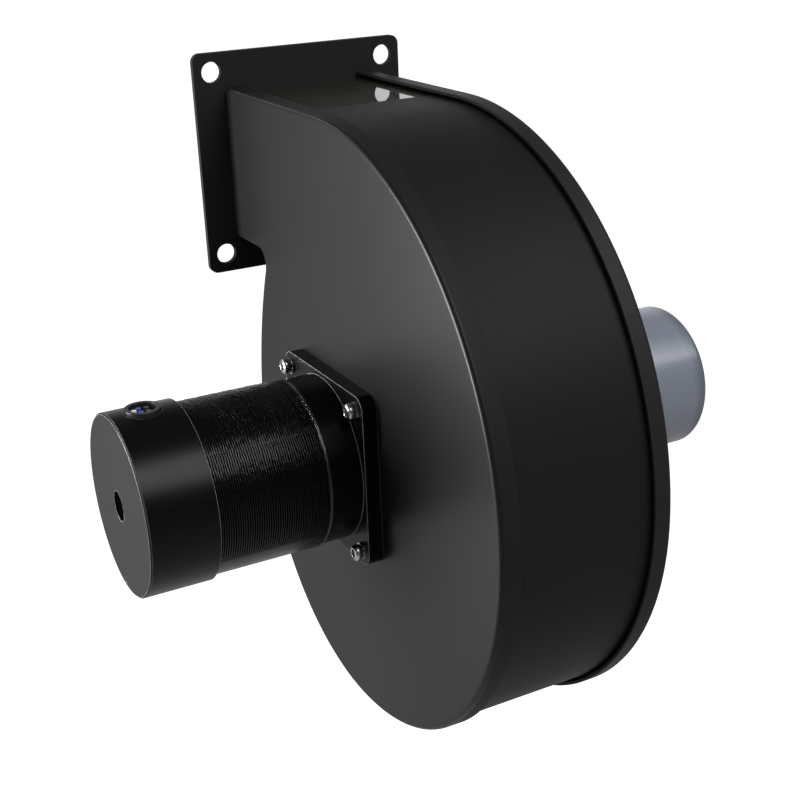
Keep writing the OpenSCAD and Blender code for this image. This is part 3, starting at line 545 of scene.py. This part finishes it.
def useTree(piece, tree, values):
    modifier = piece.modifiers.new(tree.name, "NODES")
    modifier.node_group = tree
    for item in tree.interface.items_tree:
        if item.item_type == "SOCKET" and item.in_out == "INPUT" and item.name in values:
            modifier[item.identifier] = values[item.name]


def linkMesh(name, mesh):
    piece = bpy.data.objects.new(name, mesh)
    bpy.context.scene.collection.objects.link(piece)
    return piece


def settle(name, source, offset=Vector()):  # turns what the modifiers give into a plain mesh of its own
    bpy.context.view_layer.update()
    evaluated = source.evaluated_get(bpy.context.evaluated_depsgraph_get())
    mesh = bpy.data.meshes.new_from_object(evaluated)
    mesh.name = name
    mesh.transform(Matrix.Translation(offset))
    for modifier in list(source.modifiers):
        source.modifiers.remove(modifier)
    bpy.data.objects.remove(source)
    return linkMesh(name, mesh)


def finishPiece(piece, body, slot, *nodes, finish=None):
    if not piece.data.materials:
        piece.data.materials.append(finishes[finish or slot])
    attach(piece, body)
    if nodes:
        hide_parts(*nodes)


def meshFrom(name, build):
    shape = bmesh.new()
    build(shape)
    bmesh.ops.recalc_face_normals(shape, faces=shape.faces)
    for edge in shape.edges:
        edge.smooth = len(edge.link_faces) == 2 and edge.calc_face_angle(0) < creaseAngle
    for face in shape.faces:
        face.smooth = True
    mesh = bpy.data.meshes.new(name)
    shape.to_mesh(mesh)
    shape.free()
    return mesh


# Mesh helpers, in millimetres about the Y axis
def polarPoint(shape, angle, radius, y=0.0):
    return shape.verts.new((radius * math.cos(angle) * mm, y * mm, radius * math.sin(angle) * mm))


def quadStrip(shape, near, far):
    for i in range(len(near) - 1):
        shape.faces.new((near[i], near[i + 1], far[i + 1], far[i]))


def joinSections(shape, sections, capped=True):
    for near, far in zip(sections, sections[1:]):
        quadStrip(shape, near + near[:1], far + far[:1])
    if capped:
        for end in (sections[0], sections[-1]):
            shape.faces.new(end)


# Turned piece: each ring is (y, radius or radius function of the angle). A hollow one has its last
# ring joined to its first, and any other is closed by a face at either end.
def turnedMesh(name, rings, segments=roundSides, hollow=False):
    def build(shape):
        loops = []
        for y, radius in rings:
            angles = [2 * math.pi * i / segments for i in range(segments)]
            loops.append([polarPoint(shape, a, radius(a) if callable(radius) else radius, y)
                          for a in angles])
        joinSections(shape, loops + loops[:1] if hollow else loops, capped=not hollow)
    return meshFrom(name, build)


def hexagon(apothem):
    sixth = math.radians(60)
    return lambda angle: apothem / math.cos((angle + sixth / 2) % sixth - sixth / 2)


# The same fastener on the four corners of a square, whose size comes from the CAD node's box;
# reach is how far a fastener goes past its own middle
def patternPiece(node, look, fastenerMesh, reach, body="housing"):
    low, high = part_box(node)
    base = linkMesh(node + "Base", fastenerMesh(node + "Base", look, (high.y - low.y) / mm))
    half = (high.x - low.x) / 2 - reach * mm
    places = [(axisX + i * half, low.y, axisZ + j * half) for i in (-1, 1) for j in (-1, 1)]
    corners = bpy.data.meshes.new(node + "Places")
    corners.from_pydata(places, [], [])
    pattern = linkMesh(node + "Places", corners)
    useTree(pattern, fastenerPattern, {
        "Piece": base, "Turn": look["turn"], "Seed": look["seed"],
        "Finish": finishes[look.get("finish", look["slot"])]})
    made = settle(look["piece"], pattern)
    bpy.data.objects.remove(base)
    finishPiece(made, body, look["slot"], node)


# Socket head screws: knurled head with a rounded rim, hexagon socket and a chamfered end
screwSets = {
    "mount_screws": {
        "piece": "mount_screw_set", "slot": "bright_steel", "finish": "screw_steel",
        "head": 2.6, "height": 2.3, "shank": 1.45, "headFirst": True, "turn": 6.28, "seed": 4},
    "tie_screws": {
        "piece": "tie_screw_set", "slot": "zinc_steel",
        "head": 2.3, "height": 1.8, "shank": 1.25, "headFirst": False, "turn": 6.28, "seed": 7},
    "inlet_screws": {
        "piece": "inlet_screw_set", "slot": "bright_steel", "finish": "screw_steel",
        "head": 2.75, "height": 2.6, "shank": 1.45, "headFirst": False, "turn": 6.28, "seed": 9},
}


def screwMesh(name, look, length):
    head, height, shank = look["head"], look["height"], look["shank"]
    knurl = lambda angle: head * (1 - 0.012 * (round(angle * roundSides / 2 / math.pi) % 2))
    socket = hexagon(head * 0.48)
    tip, tipCut = 0.4, 0.35  # length and depth of the chamfered end
    rings = [
        (0.55 * height, lambda angle: 0.3 * socket(angle)),
        (0.5 * height, socket), (0.06 * height, socket), (0.0, head * 0.56), (0.02 * height, head * 0.7),
        (0.09 * height, head * 0.84), (0.2 * height, head * 0.94), (0.34 * height, knurl),
        (0.9 * height, knurl), (height, head * 0.96), (height, shank),
        (length - tip, shank), (length, shank - tipCut),
    ]
    if not look["headFirst"]:
        rings = [(length - y, radius) for y, radius in rings]
    return turnedMesh(name, rings)


for node, look in screwSets.items():
    patternPiece(node, look, screwMesh, look["head"])
print("screws made")

# Hexagon nuts with chamfered corners and a round bore
nutSets = {
    "mount_nuts": {
        "piece": "mount_hex_nuts", "slot": "zinc_steel", "flats": 5.5, "bore": 1.6, "chamfer": 0.3,
        "turn": 1.0, "seed": 2},
    "inlet_nuts": {
        "piece": "inlet_hex_nuts", "slot": "zinc_steel", "flats": 5.5, "bore": 1.6, "chamfer": 0.3,
        "turn": 1.0, "seed": 5},
}


def nutMesh(name, look, height):
    half, bore, chamfer = look["flats"] / 2, look["bore"], look["chamfer"]
    flats = hexagon(half)
    cut = lambda angle: min(flats(angle), half * 1.05)
    rings = [(0.0, bore), (0.0, cut), (chamfer, flats), (height - chamfer, flats), (height, cut),
             (height, bore)]
    return turnedMesh(name, rings, hollow=True)


for node, look in nutSets.items():
    patternPiece(node, look, nutMesh, look["flats"] / 2 / math.cos(math.radians(30)))
print("nuts made")

# Split spring washers under the motor's screws
lockWasher = {
    "piece": "mount_lock_washers", "slot": "bright_steel", "inner": 1.75, "outer": 2.7,
    "gap": 14.0, "rise": 0.12, "steps": 40, "turn": 6.28, "seed": 12,
}


def lockWasherMesh(name, look, height):
    inner, outer = look["inner"], look["outer"]

    def build(shape):
        sections = []
        for i in range(look["steps"] + 1):
            share = i / look["steps"]
            angle = math.radians(look["gap"] / 2 + share * (360 - look["gap"]))
            low = look["rise"] * share
            high = height - look["rise"] + low
            sections.append([polarPoint(shape, angle, radius, y) for radius, y in (
                (inner, low), (outer, low), (outer, high), (inner, high))])
        joinSections(shape, sections)
    return meshFrom(name, build)


patternPiece("mount_washers", lockWasher, lockWasherMesh, lockWasher["outer"])

# Round-head rivets that hold the back plate to the hub
hubRivet = {
    "piece": "hub_rivet_set", "slot": "impeller_aluminium", "head": 2.4, "shank": 1.3, "dome": 1.0,
    "domeAngles": (84, 60, 35, 12, 0), "sides": 24, "turn": 0.0, "seed": 1,
}


def rivetMesh(name, look, length):
    head, dome, shank = look["head"], look["dome"], look["shank"]
    angles = [math.radians(angle) for angle in look["domeAngles"]]
    low = [(dome * (1 - math.sin(angle)), head * math.cos(angle)) for angle in angles]
    high = [(length - y, radius) for y, radius in reversed(low)]
    return turnedMesh(name, low + [(dome, shank), (length - dome, shank)] + high, look["sides"])


patternPiece("hub_rivets", hubRivet, rivetMesh, hubRivet["head"], body="rotor")
print("washers and rivets made")

# Outline of the scroll and its duct: four arcs whose centres stand round a square, the flat arc up to
# the tongue, the tongue's own bend and the duct's two straight sides
scroll = {
    "radius": 74.2, "step": 15.2, "middle": (0.2, -5.3), "tongueWall": 150.8, "tongue": 4.85,
    "ductHeight": 52.0, "ductEnd": 77.0, "spacing": 3.0, "tongueSpacing": 0.8,
}


def arcPath(centre, radius, first, last, spacing, side=1):
    steps = max(8, round(abs(math.radians(last - first)) * radius / spacing))
    path = []
    for i in range(steps + 1):
        angle = math.radians(first + (last - first) * i / steps)
        spoke = Vector((math.cos(angle), math.sin(angle)))
        path.append((centre + radius * spoke, side * spoke))
    return path


def linePath(start, end, normal, spacing=10.0):
    steps = max(1, round((end - start).length / spacing))
    return [(start.lerp(end, i / steps), normal) for i in range(steps + 1)]


def scrollPath(look):
    half, middle = look["step"] / 2, Vector(look["middle"])
    lowerRight = middle + Vector((half, -half))
    upperRight = middle + Vector((half, half))
    upperLeft = middle + Vector((-half, half))
    wallCentre = lowerRight + Vector((look["tongueWall"] - look["radius"], 0))
    top = upperLeft.y + look["radius"] + 2 * look["step"]
    floor = top - look["ductHeight"]
    reach = look["tongueWall"] + look["tongue"]
    tongueZ = floor - look["tongue"]
    turn = math.asin((tongueZ - wallCentre.y) / reach)
    tongue = Vector((wallCentre.x - reach * math.cos(turn), tongueZ))
    turn = math.degrees(turn)
    space = look["spacing"]
    stretches = [
        linePath(Vector((-look["ductEnd"], top)), Vector((upperLeft.x, top)), Vector((0, 1))),
        arcPath(upperLeft, look["radius"] + 2 * look["step"], 90, 0, space),
        arcPath(upperRight, look["radius"] + look["step"], 0, -90, space),
        arcPath(lowerRight, look["radius"], -90, -180, space),
        arcPath(wallCentre, look["tongueWall"], 180, 180 - turn, space),
        arcPath(tongue, look["tongue"], -turn, 90, look["tongueSpacing"], side=-1),
        linePath(Vector((tongue.x, floor)), Vector((-look["ductEnd"], floor)), Vector((0, -1))),
    ]
    path = stretches[0]
    for stretch in stretches[1:]:
        path += stretch[1:]  # each stretch starts where the last one ends
    return path


outline = scrollPath(scroll)


def bend(centre, radius, first, last, steps=7):  # quarter bend of a section: (distance outwards, depth)
    angles = [math.radians(first + (last - first) * i / steps) for i in range(steps + 1)]
    return [(centre[0] + radius * math.cos(a), centre[1] + radius * math.sin(a)) for a in angles]


def sweepPoint(shape, place, normal, out, y):
    spot = place + normal * out
    return shape.verts.new(onShaft(spot.x, y, spot.y))


# Pressed covers: a flat plate, a rolled edge and a lip, with round holes through the plate
covers = {
    "front_cover": {
        "piece": "pressed_front_cover", "finish": "cover_paint", "out": 0.0, "roll": 1.3,
        "lip": 6.5, "sheet": 1.0, "face": 0.0, "side": 1,
        "middleHole": 19.35, "middleSides": 96, "screwHole": 1.7, "screwSides": 20,
        "screwPlaces": [(23.57, 23.57), (-23.57, 23.57), (-23.57, -23.57), (23.57, -23.57)]},
    "rear_cover": {
        "piece": "pressed_rear_cover", "finish": "rear_paint", "out": 0.69, "roll": 1.5,
        "lip": 6.0, "sheet": 1.0, "face": 56.0, "side": -1,
        "middleHole": 23.6, "middleSides": 96, "screwHole": 1.7, "screwSides": 20,
        "screwPlaces": [(22.27, 22.27), (-22.27, 22.27), (-22.27, -22.27), (22.27, -22.27)]},
}


def coverSections(look):
    out, roll, lip, sheet = look["out"], look["roll"], look["lip"], look["sheet"]
    cut = 0.2  # corner taken off the lip's edge
    wall, plate = roll + 0.6, out - roll - 0.8  # rows that part the roll from the flat wall and plate
    outside = [(out - cut, lip), (out, lip - cut), (out, wall)]
    outside += bend((out - roll, roll), roll, 0, -90) + [(plate, 0.0)]
    inside = [(out - sheet, lip), (out - sheet, wall)]
    inside += bend((out - roll, roll), roll - sheet, 0, -90) + [(plate, sheet)]
    return outside, inside


def holeRing(shape, middle, radius, y, count):
    ring = []
    for i in range(count):
        angle = 2 * math.pi * i / count
        x, z = middle[0] + radius * math.cos(angle), middle[1] + radius * math.sin(angle)
        ring.append(shape.verts.new(onShaft(x, y, z)))
    return ring


def closeLoop(shape, points):
    return [shape.edges.get((a, b)) or shape.edges.new((a, b))
            for a, b in zip(points, points[1:] + points[:1])]


def coverMesh(look):
    def build(shape):
        layers = []
        for section in coverSections(look):
            rows = [[sweepPoint(shape, place, normal, out, look["face"] + look["side"] * depth)
                     for out, depth in section] for place, normal in outline]
            for near, far in zip(rows, rows[1:]):
                quadStrip(shape, near, far)
            layers.append(rows)
        outside, inside = layers
        for near, far, nearIn, farIn in zip(outside, outside[1:], inside, inside[1:]):
            shape.faces.new((near[0], far[0], farIn[0], nearIn[0]))
        for k in (0, -1):  # the sheet's cut ends at the duct's mouth
            shape.faces.new(outside[k] + inside[k][::-1])
        shape.faces.new((outside[0][-1], outside[-1][-1], inside[-1][-1], inside[0][-1]))
        rings = []
        for depth, rows in ((0.0, outside), (look["sheet"], inside)):
            y = look["face"] + look["side"] * depth
            holes = [holeRing(shape, (0, 0), look["middleHole"], y, look["middleSides"])]
            holes += [holeRing(shape, spot, look["screwHole"], y, look["screwSides"])
                      for spot in look["screwPlaces"]]
            edges = closeLoop(shape, [row[-1] for row in rows])
            for ring in holes:
                edges += closeLoop(shape, ring)
            bmesh.ops.triangle_fill(shape, use_beauty=True, edges=edges)
            rings.append(holes)
        for upper, lower in zip(*rings):
            quadStrip(shape, upper + upper[:1], lower + lower[:1])
    return meshFrom(look["piece"], build)


for node, look in covers.items():
    piece = linkMesh(look["piece"], coverMesh(look))
    finishPiece(piece, "housing", "housing_paint", node, finish=look["finish"])

# Scroll band: one long strip, its front edge turned in as the weld flange
scrollBand = {
    "out": -1.3, "bend": 2.0, "ease": 0.6, "flange": 5.0, "sheet": 1.0, "front": 1.0, "back": 55.0,
}


def bandMesh(look):
    out, radius, sheet = look["out"], look["bend"], look["sheet"]
    front, back = look["front"], look["back"]
    foot = out - radius - look["flange"]
    centre = (out - radius, front + radius)
    turnIn, turnOut = out - radius - look["ease"], front + radius + look["ease"]
    section = [(foot, front), (turnIn, front)] + bend(centre, radius, -90, 0)
    section += [(out, turnOut), (out, back), (out - sheet, back), (out - sheet, turnOut)]
    section += bend(centre, radius - sheet, 0, -90)
    section += [(turnIn, front + sheet), (foot, front + sheet)]

    def build(shape):
        joinSections(shape, [[sweepPoint(shape, place, normal, *point) for point in section]
                             for place, normal in outline])
    return meshFrom("bent_scroll_band", build)


band = linkMesh("bent_scroll_band", bandMesh(scrollBand))
finishPiece(band, "housing", "housing_paint", "scroll_band", finish="band_paint")
print("covers and band pressed")

# Stator laminations: toothed sheets with holes for the tie screws
lamination = {
    "outer": 27.05, "yoke": 21.5, "bore": 14.9, "tip": 16.4, "teeth": 9, "toothWidth": 5.0,
    "shoeHalf": 14.0, "holeCircle": 24.0, "hole": 1.55, "corners": (45, 135, 225, 315),
    "segments": 260, "shoeSteps": 6, "yokeSteps": 7, "holeSides": 12,
    "count": 48, "fill": 0.52, "uneven": 0.06, "wave": 0.36, "waveScale": 640.0, "wiggle": 0.5,
    "calmBelow": 6.0, "fade": (-4.0, 8.0), "calmShare": 0.15, "evenTo": 25.8, "seed": 3,
}


def laminationMesh(look, thickness):
    def build(shape):
        pitch = 2 * math.pi / look["teeth"]
        bore, tip, yoke = look["bore"], look["tip"], look["yoke"]
        shoe = math.radians(look["shoeHalf"])
        atTip, atYoke = (math.asin(look["toothWidth"] / 2 / radius) for radius in (tip, yoke))
        shoeSteps, yokeSteps = look["shoeSteps"], look["yokeSteps"]
        inner = []
        for k in range(look["teeth"]):
            middle = math.pi / 2 + k * pitch
            corners = [(middle + shoe * (2 * i / shoeSteps - 1), bore) for i in range(shoeSteps + 1)]
            corners += [(middle + shoe, tip), (middle + atTip, tip)]
            corners += [(middle + atYoke + (pitch - 2 * atYoke) * i / yokeSteps, yoke)
                        for i in range(yokeSteps + 1)]
            corners += [(middle + pitch - atTip, tip), (middle + pitch - shoe, tip)]
            inner += [polarPoint(shape, angle, radius) for angle, radius in corners]
        count = look["segments"]
        edges = closeLoop(shape, inner)
        edges += closeLoop(shape, [polarPoint(shape, 2 * math.pi * i / count, look["outer"])
                                   for i in range(count)])
        for corner in look["corners"]:
            turn = math.radians(corner)
            centre = Vector((math.cos(turn), 0, math.sin(turn))) * look["holeCircle"] * mm
            ring = []
            for i in range(look["holeSides"]):
                angle = 2 * math.pi * i / look["holeSides"]
                spoke = Vector((math.cos(angle), 0, math.sin(angle)))
                ring.append(shape.verts.new(centre + spoke * look["hole"] * mm))
            edges += closeLoop(shape, ring)
        bmesh.ops.triangle_fill(shape, use_beauty=True, edges=edges)
        grown = bmesh.ops.extrude_face_region(shape, geom=list(shape.faces))
        moved = [v for v in grown["geom"] if isinstance(v, bmesh.types.BMVert)]
        bmesh.ops.translate(shape, verts=moved, vec=(0, thickness, 0))
    return meshFrom("laminationSheet", build)


def makeStack(look):
    low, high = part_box("stator_stack")
    pitch = (high.y - low.y) / look["count"]
    thickness = pitch * look["fill"]
    sheet = linkMesh("laminationSheet", laminationMesh(look, thickness))
    fadeStart, fadeEnd = look["fade"]
    useTree(sheet, laminationPile, {
        "Count": look["count"], "Pitch": pitch, "Uneven": look["uneven"] * mm,
        "Wave": look["wave"] * mm, "Wave Scale": look["waveScale"], "Wiggle": look["wiggle"] * mm,
        "Calm Below": look["calmBelow"] * mm, "Fade Start": fadeStart * mm, "Fade End": fadeEnd * mm,
        "Calm Share": look["calmShare"], "Inner Radius": look["evenTo"] * mm, "Seed": look["seed"],
        "Finish": finishes["stack_paint"]})
    place = Vector((axisX, low.y + (pitch - thickness) / 2, axisZ))
    finishPiece(settle("laminated_stack", sheet, place), "housing", "stack_paint", "stator_stack")


makeStack(lamination)

# Smooth strip along the laminations; its two long edges are lowered, which draws the seam lines
seamStrip = {"inner": 26.4, "outer": 27.3, "start": -31.3, "sweep": 40.0, "steps": 24, "lip": 0.25}


def makeStrip(look):
    low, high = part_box("stator_stack")
    near, far = (low.y - plateY) / mm, (high.y - plateY) / mm
    inner, steps = look["inner"], look["steps"]

    def build(shape):
        sections = []
        for i in range(steps + 1):
            angle = math.radians(look["start"] - look["sweep"] * i / steps)
            outer = look["outer"] - (look["lip"] if i in (0, steps) else 0.0)
            sections.append([
                shape.verts.new(onShaft(radius * math.cos(angle), y, radius * math.sin(angle)))
                for radius, y in ((inner, near), (outer, near), (outer, far), (inner, far))])
        joinSections(shape, sections)
    finishPiece(linkMesh("stack_strip", meshFrom("stack_strip", build)), "housing", "stack_paint")


makeStrip(seamStrip)
print("laminations made")

# The carried-over nodes take their finish from their slot in the record, apart from these
ownFinish = {"bell_ring": "ring_steel"}
slotFinish = {"housing_paint": "band_paint"}
slotOf = {entry["node"]: entry["material_slot"] for entry in frame["record"]["subparts"]}
for node, piece in frame["nodes"].items():
    slot = slotOf[node]
    finish = ownFinish.get(node, slotFinish.get(slot, slot))
    piece.data.materials.clear()
    piece.data.materials.append(finishes[finish])
    if not piece.hide_render:
        useTree(piece, softShading, {})
        weighted = piece.modifiers.new("weightedNormals", "WEIGHTED_NORMAL")
        weighted.keep_sharp = True
print("nodes dressed")


# Floor and studio: white to the camera and behind the blower, dimmer beside the camera, as in a studio
# whose white sweep stands behind the object. The floor lies well below the blower.
studio = {
    "floorDrop": 300.0, "floorSize": 30.0, "floorColour": (0.35, 0.35, 0.35), "floorGlow": 0.9,
    "fill": 0.5, "sweep": (-0.743, 0.669, 0.0), "sweepEdge": (0.80, 0.93), "dim": 0.12,
}


# 1 to the camera, and to mirror and glass rays towards the sweep
def backgroundLevel(tree, direction, look):
    rays = addNode(tree, "ShaderNodeLightPath").outputs
    towards = combineVectors(tree, "DOT_PRODUCT", direction, look["sweep"])
    around = ramp(tree, towards, look["sweepEdge"], (look["dim"], 1.0))
    mirror = combine(tree, "MAXIMUM", rays["Is Glossy Ray"], rays["Is Transmission Ray"])
    return combine(tree, "MAXIMUM", combine(tree, "MULTIPLY", mirror, around), rays["Is Camera Ray"])


def makeFloor(look):
    size = look["floorSize"]
    z = cadBounds[0].z - look["floorDrop"] * mm
    corners = [(-size, -size, z), (size, -size, z), (size, size, z), (-size, size, z)]
    mesh = bpy.data.meshes.new("floor")
    mesh.from_pydata(corners, [], [(0, 1, 2, 3)])
    floor = linkMesh("floor", mesh)
    material = bpy.data.materials.new("paleFloor")
    material.use_nodes = True
    tree = material.node_tree
    tree.nodes.clear()
    direction = combineVectors(tree, "NORMALIZE", objectPlace(tree))
    level = combine(tree, "MULTIPLY", backgroundLevel(tree, direction, look), look["floorGlow"])
    matte = addNode(tree, "ShaderNodeBsdfDiffuse", {"Color": opaque(look["floorColour"])})
    glow = addNode(tree, "ShaderNodeEmission", {"Strength": level})
    both = addNode(tree, "ShaderNodeAddShader")
    tree.links.new(matte.outputs[0], both.inputs[0])
    tree.links.new(glow.outputs[0], both.inputs[1])
    addNode(tree, "ShaderNodeOutputMaterial", {"Surface": both.outputs[0]})
    mesh.materials.append(material)


def makeWorld(look):
    world = bpy.data.worlds.new("studio")
    bpy.context.scene.world = world
    world.use_nodes = True
    tree = world.node_tree
    tree.nodes.clear()
    direction = addNode(tree, "ShaderNodeTexCoord").outputs["Generated"]
    rays = addNode(tree, "ShaderNodeLightPath").outputs
    fill = combine(tree, "MULTIPLY", rays["Is Diffuse Ray"], look["fill"])
    level = combine(tree, "MAXIMUM", backgroundLevel(tree, direction, look), fill)
    background = addNode(tree, "ShaderNodeBackground", {
        "Color": opaque((1.0, 1.0, 1.0)), "Strength": level})
    addNode(tree, "ShaderNodeOutputWorld", {"Surface": background.outputs[0]})


lamps = {
    "overheadSoftbox": {
        "place": (0.720, 0.330, 0.735), "aim": (0.09, -0.02, -0.06),
        "size": (0.85, 0.60), "power": 12.0},
    "nearSoftbox": {
        "place": (-0.05, -0.36, -0.03), "aim": (0.16, 0.0, -0.03),
        "size": (0.18, 0.22), "power": 4.7},
    "lowLeftSoftbox": {
        "place": (-0.26, -0.42, -0.34), "aim": (0.12, -0.03, -0.05),
        "size": (0.25, 0.25), "power": 0.20},
    "farLeftSoftbox": {
        "place": (-0.9, -0.5, 0.6), "aim": (0.05, 0.0, -0.03),
        "size": (0.6, 0.5), "power": 2.0},
}


def makeLamp(name, look):
    data = bpy.data.lights.new(name, "AREA")
    data.shape = "RECTANGLE"
    data.size, data.size_y = look["size"]
    data.energy = look["power"]
    lamp = bpy.data.objects.new(name, data)
    lamp.visible_camera = False
    bpy.context.scene.collection.objects.link(lamp)
    place = Vector(look["place"])
    turn = (Vector(look["aim"]) - place).to_track_quat("-Z", "Y")
    lamp.matrix_world = Matrix.Translation(place) @ turn.to_matrix().to_4x4()


makeFloor(studio)
makeWorld(studio)
for name, look in lamps.items():
    makeLamp(name, look)
print("studio lit")
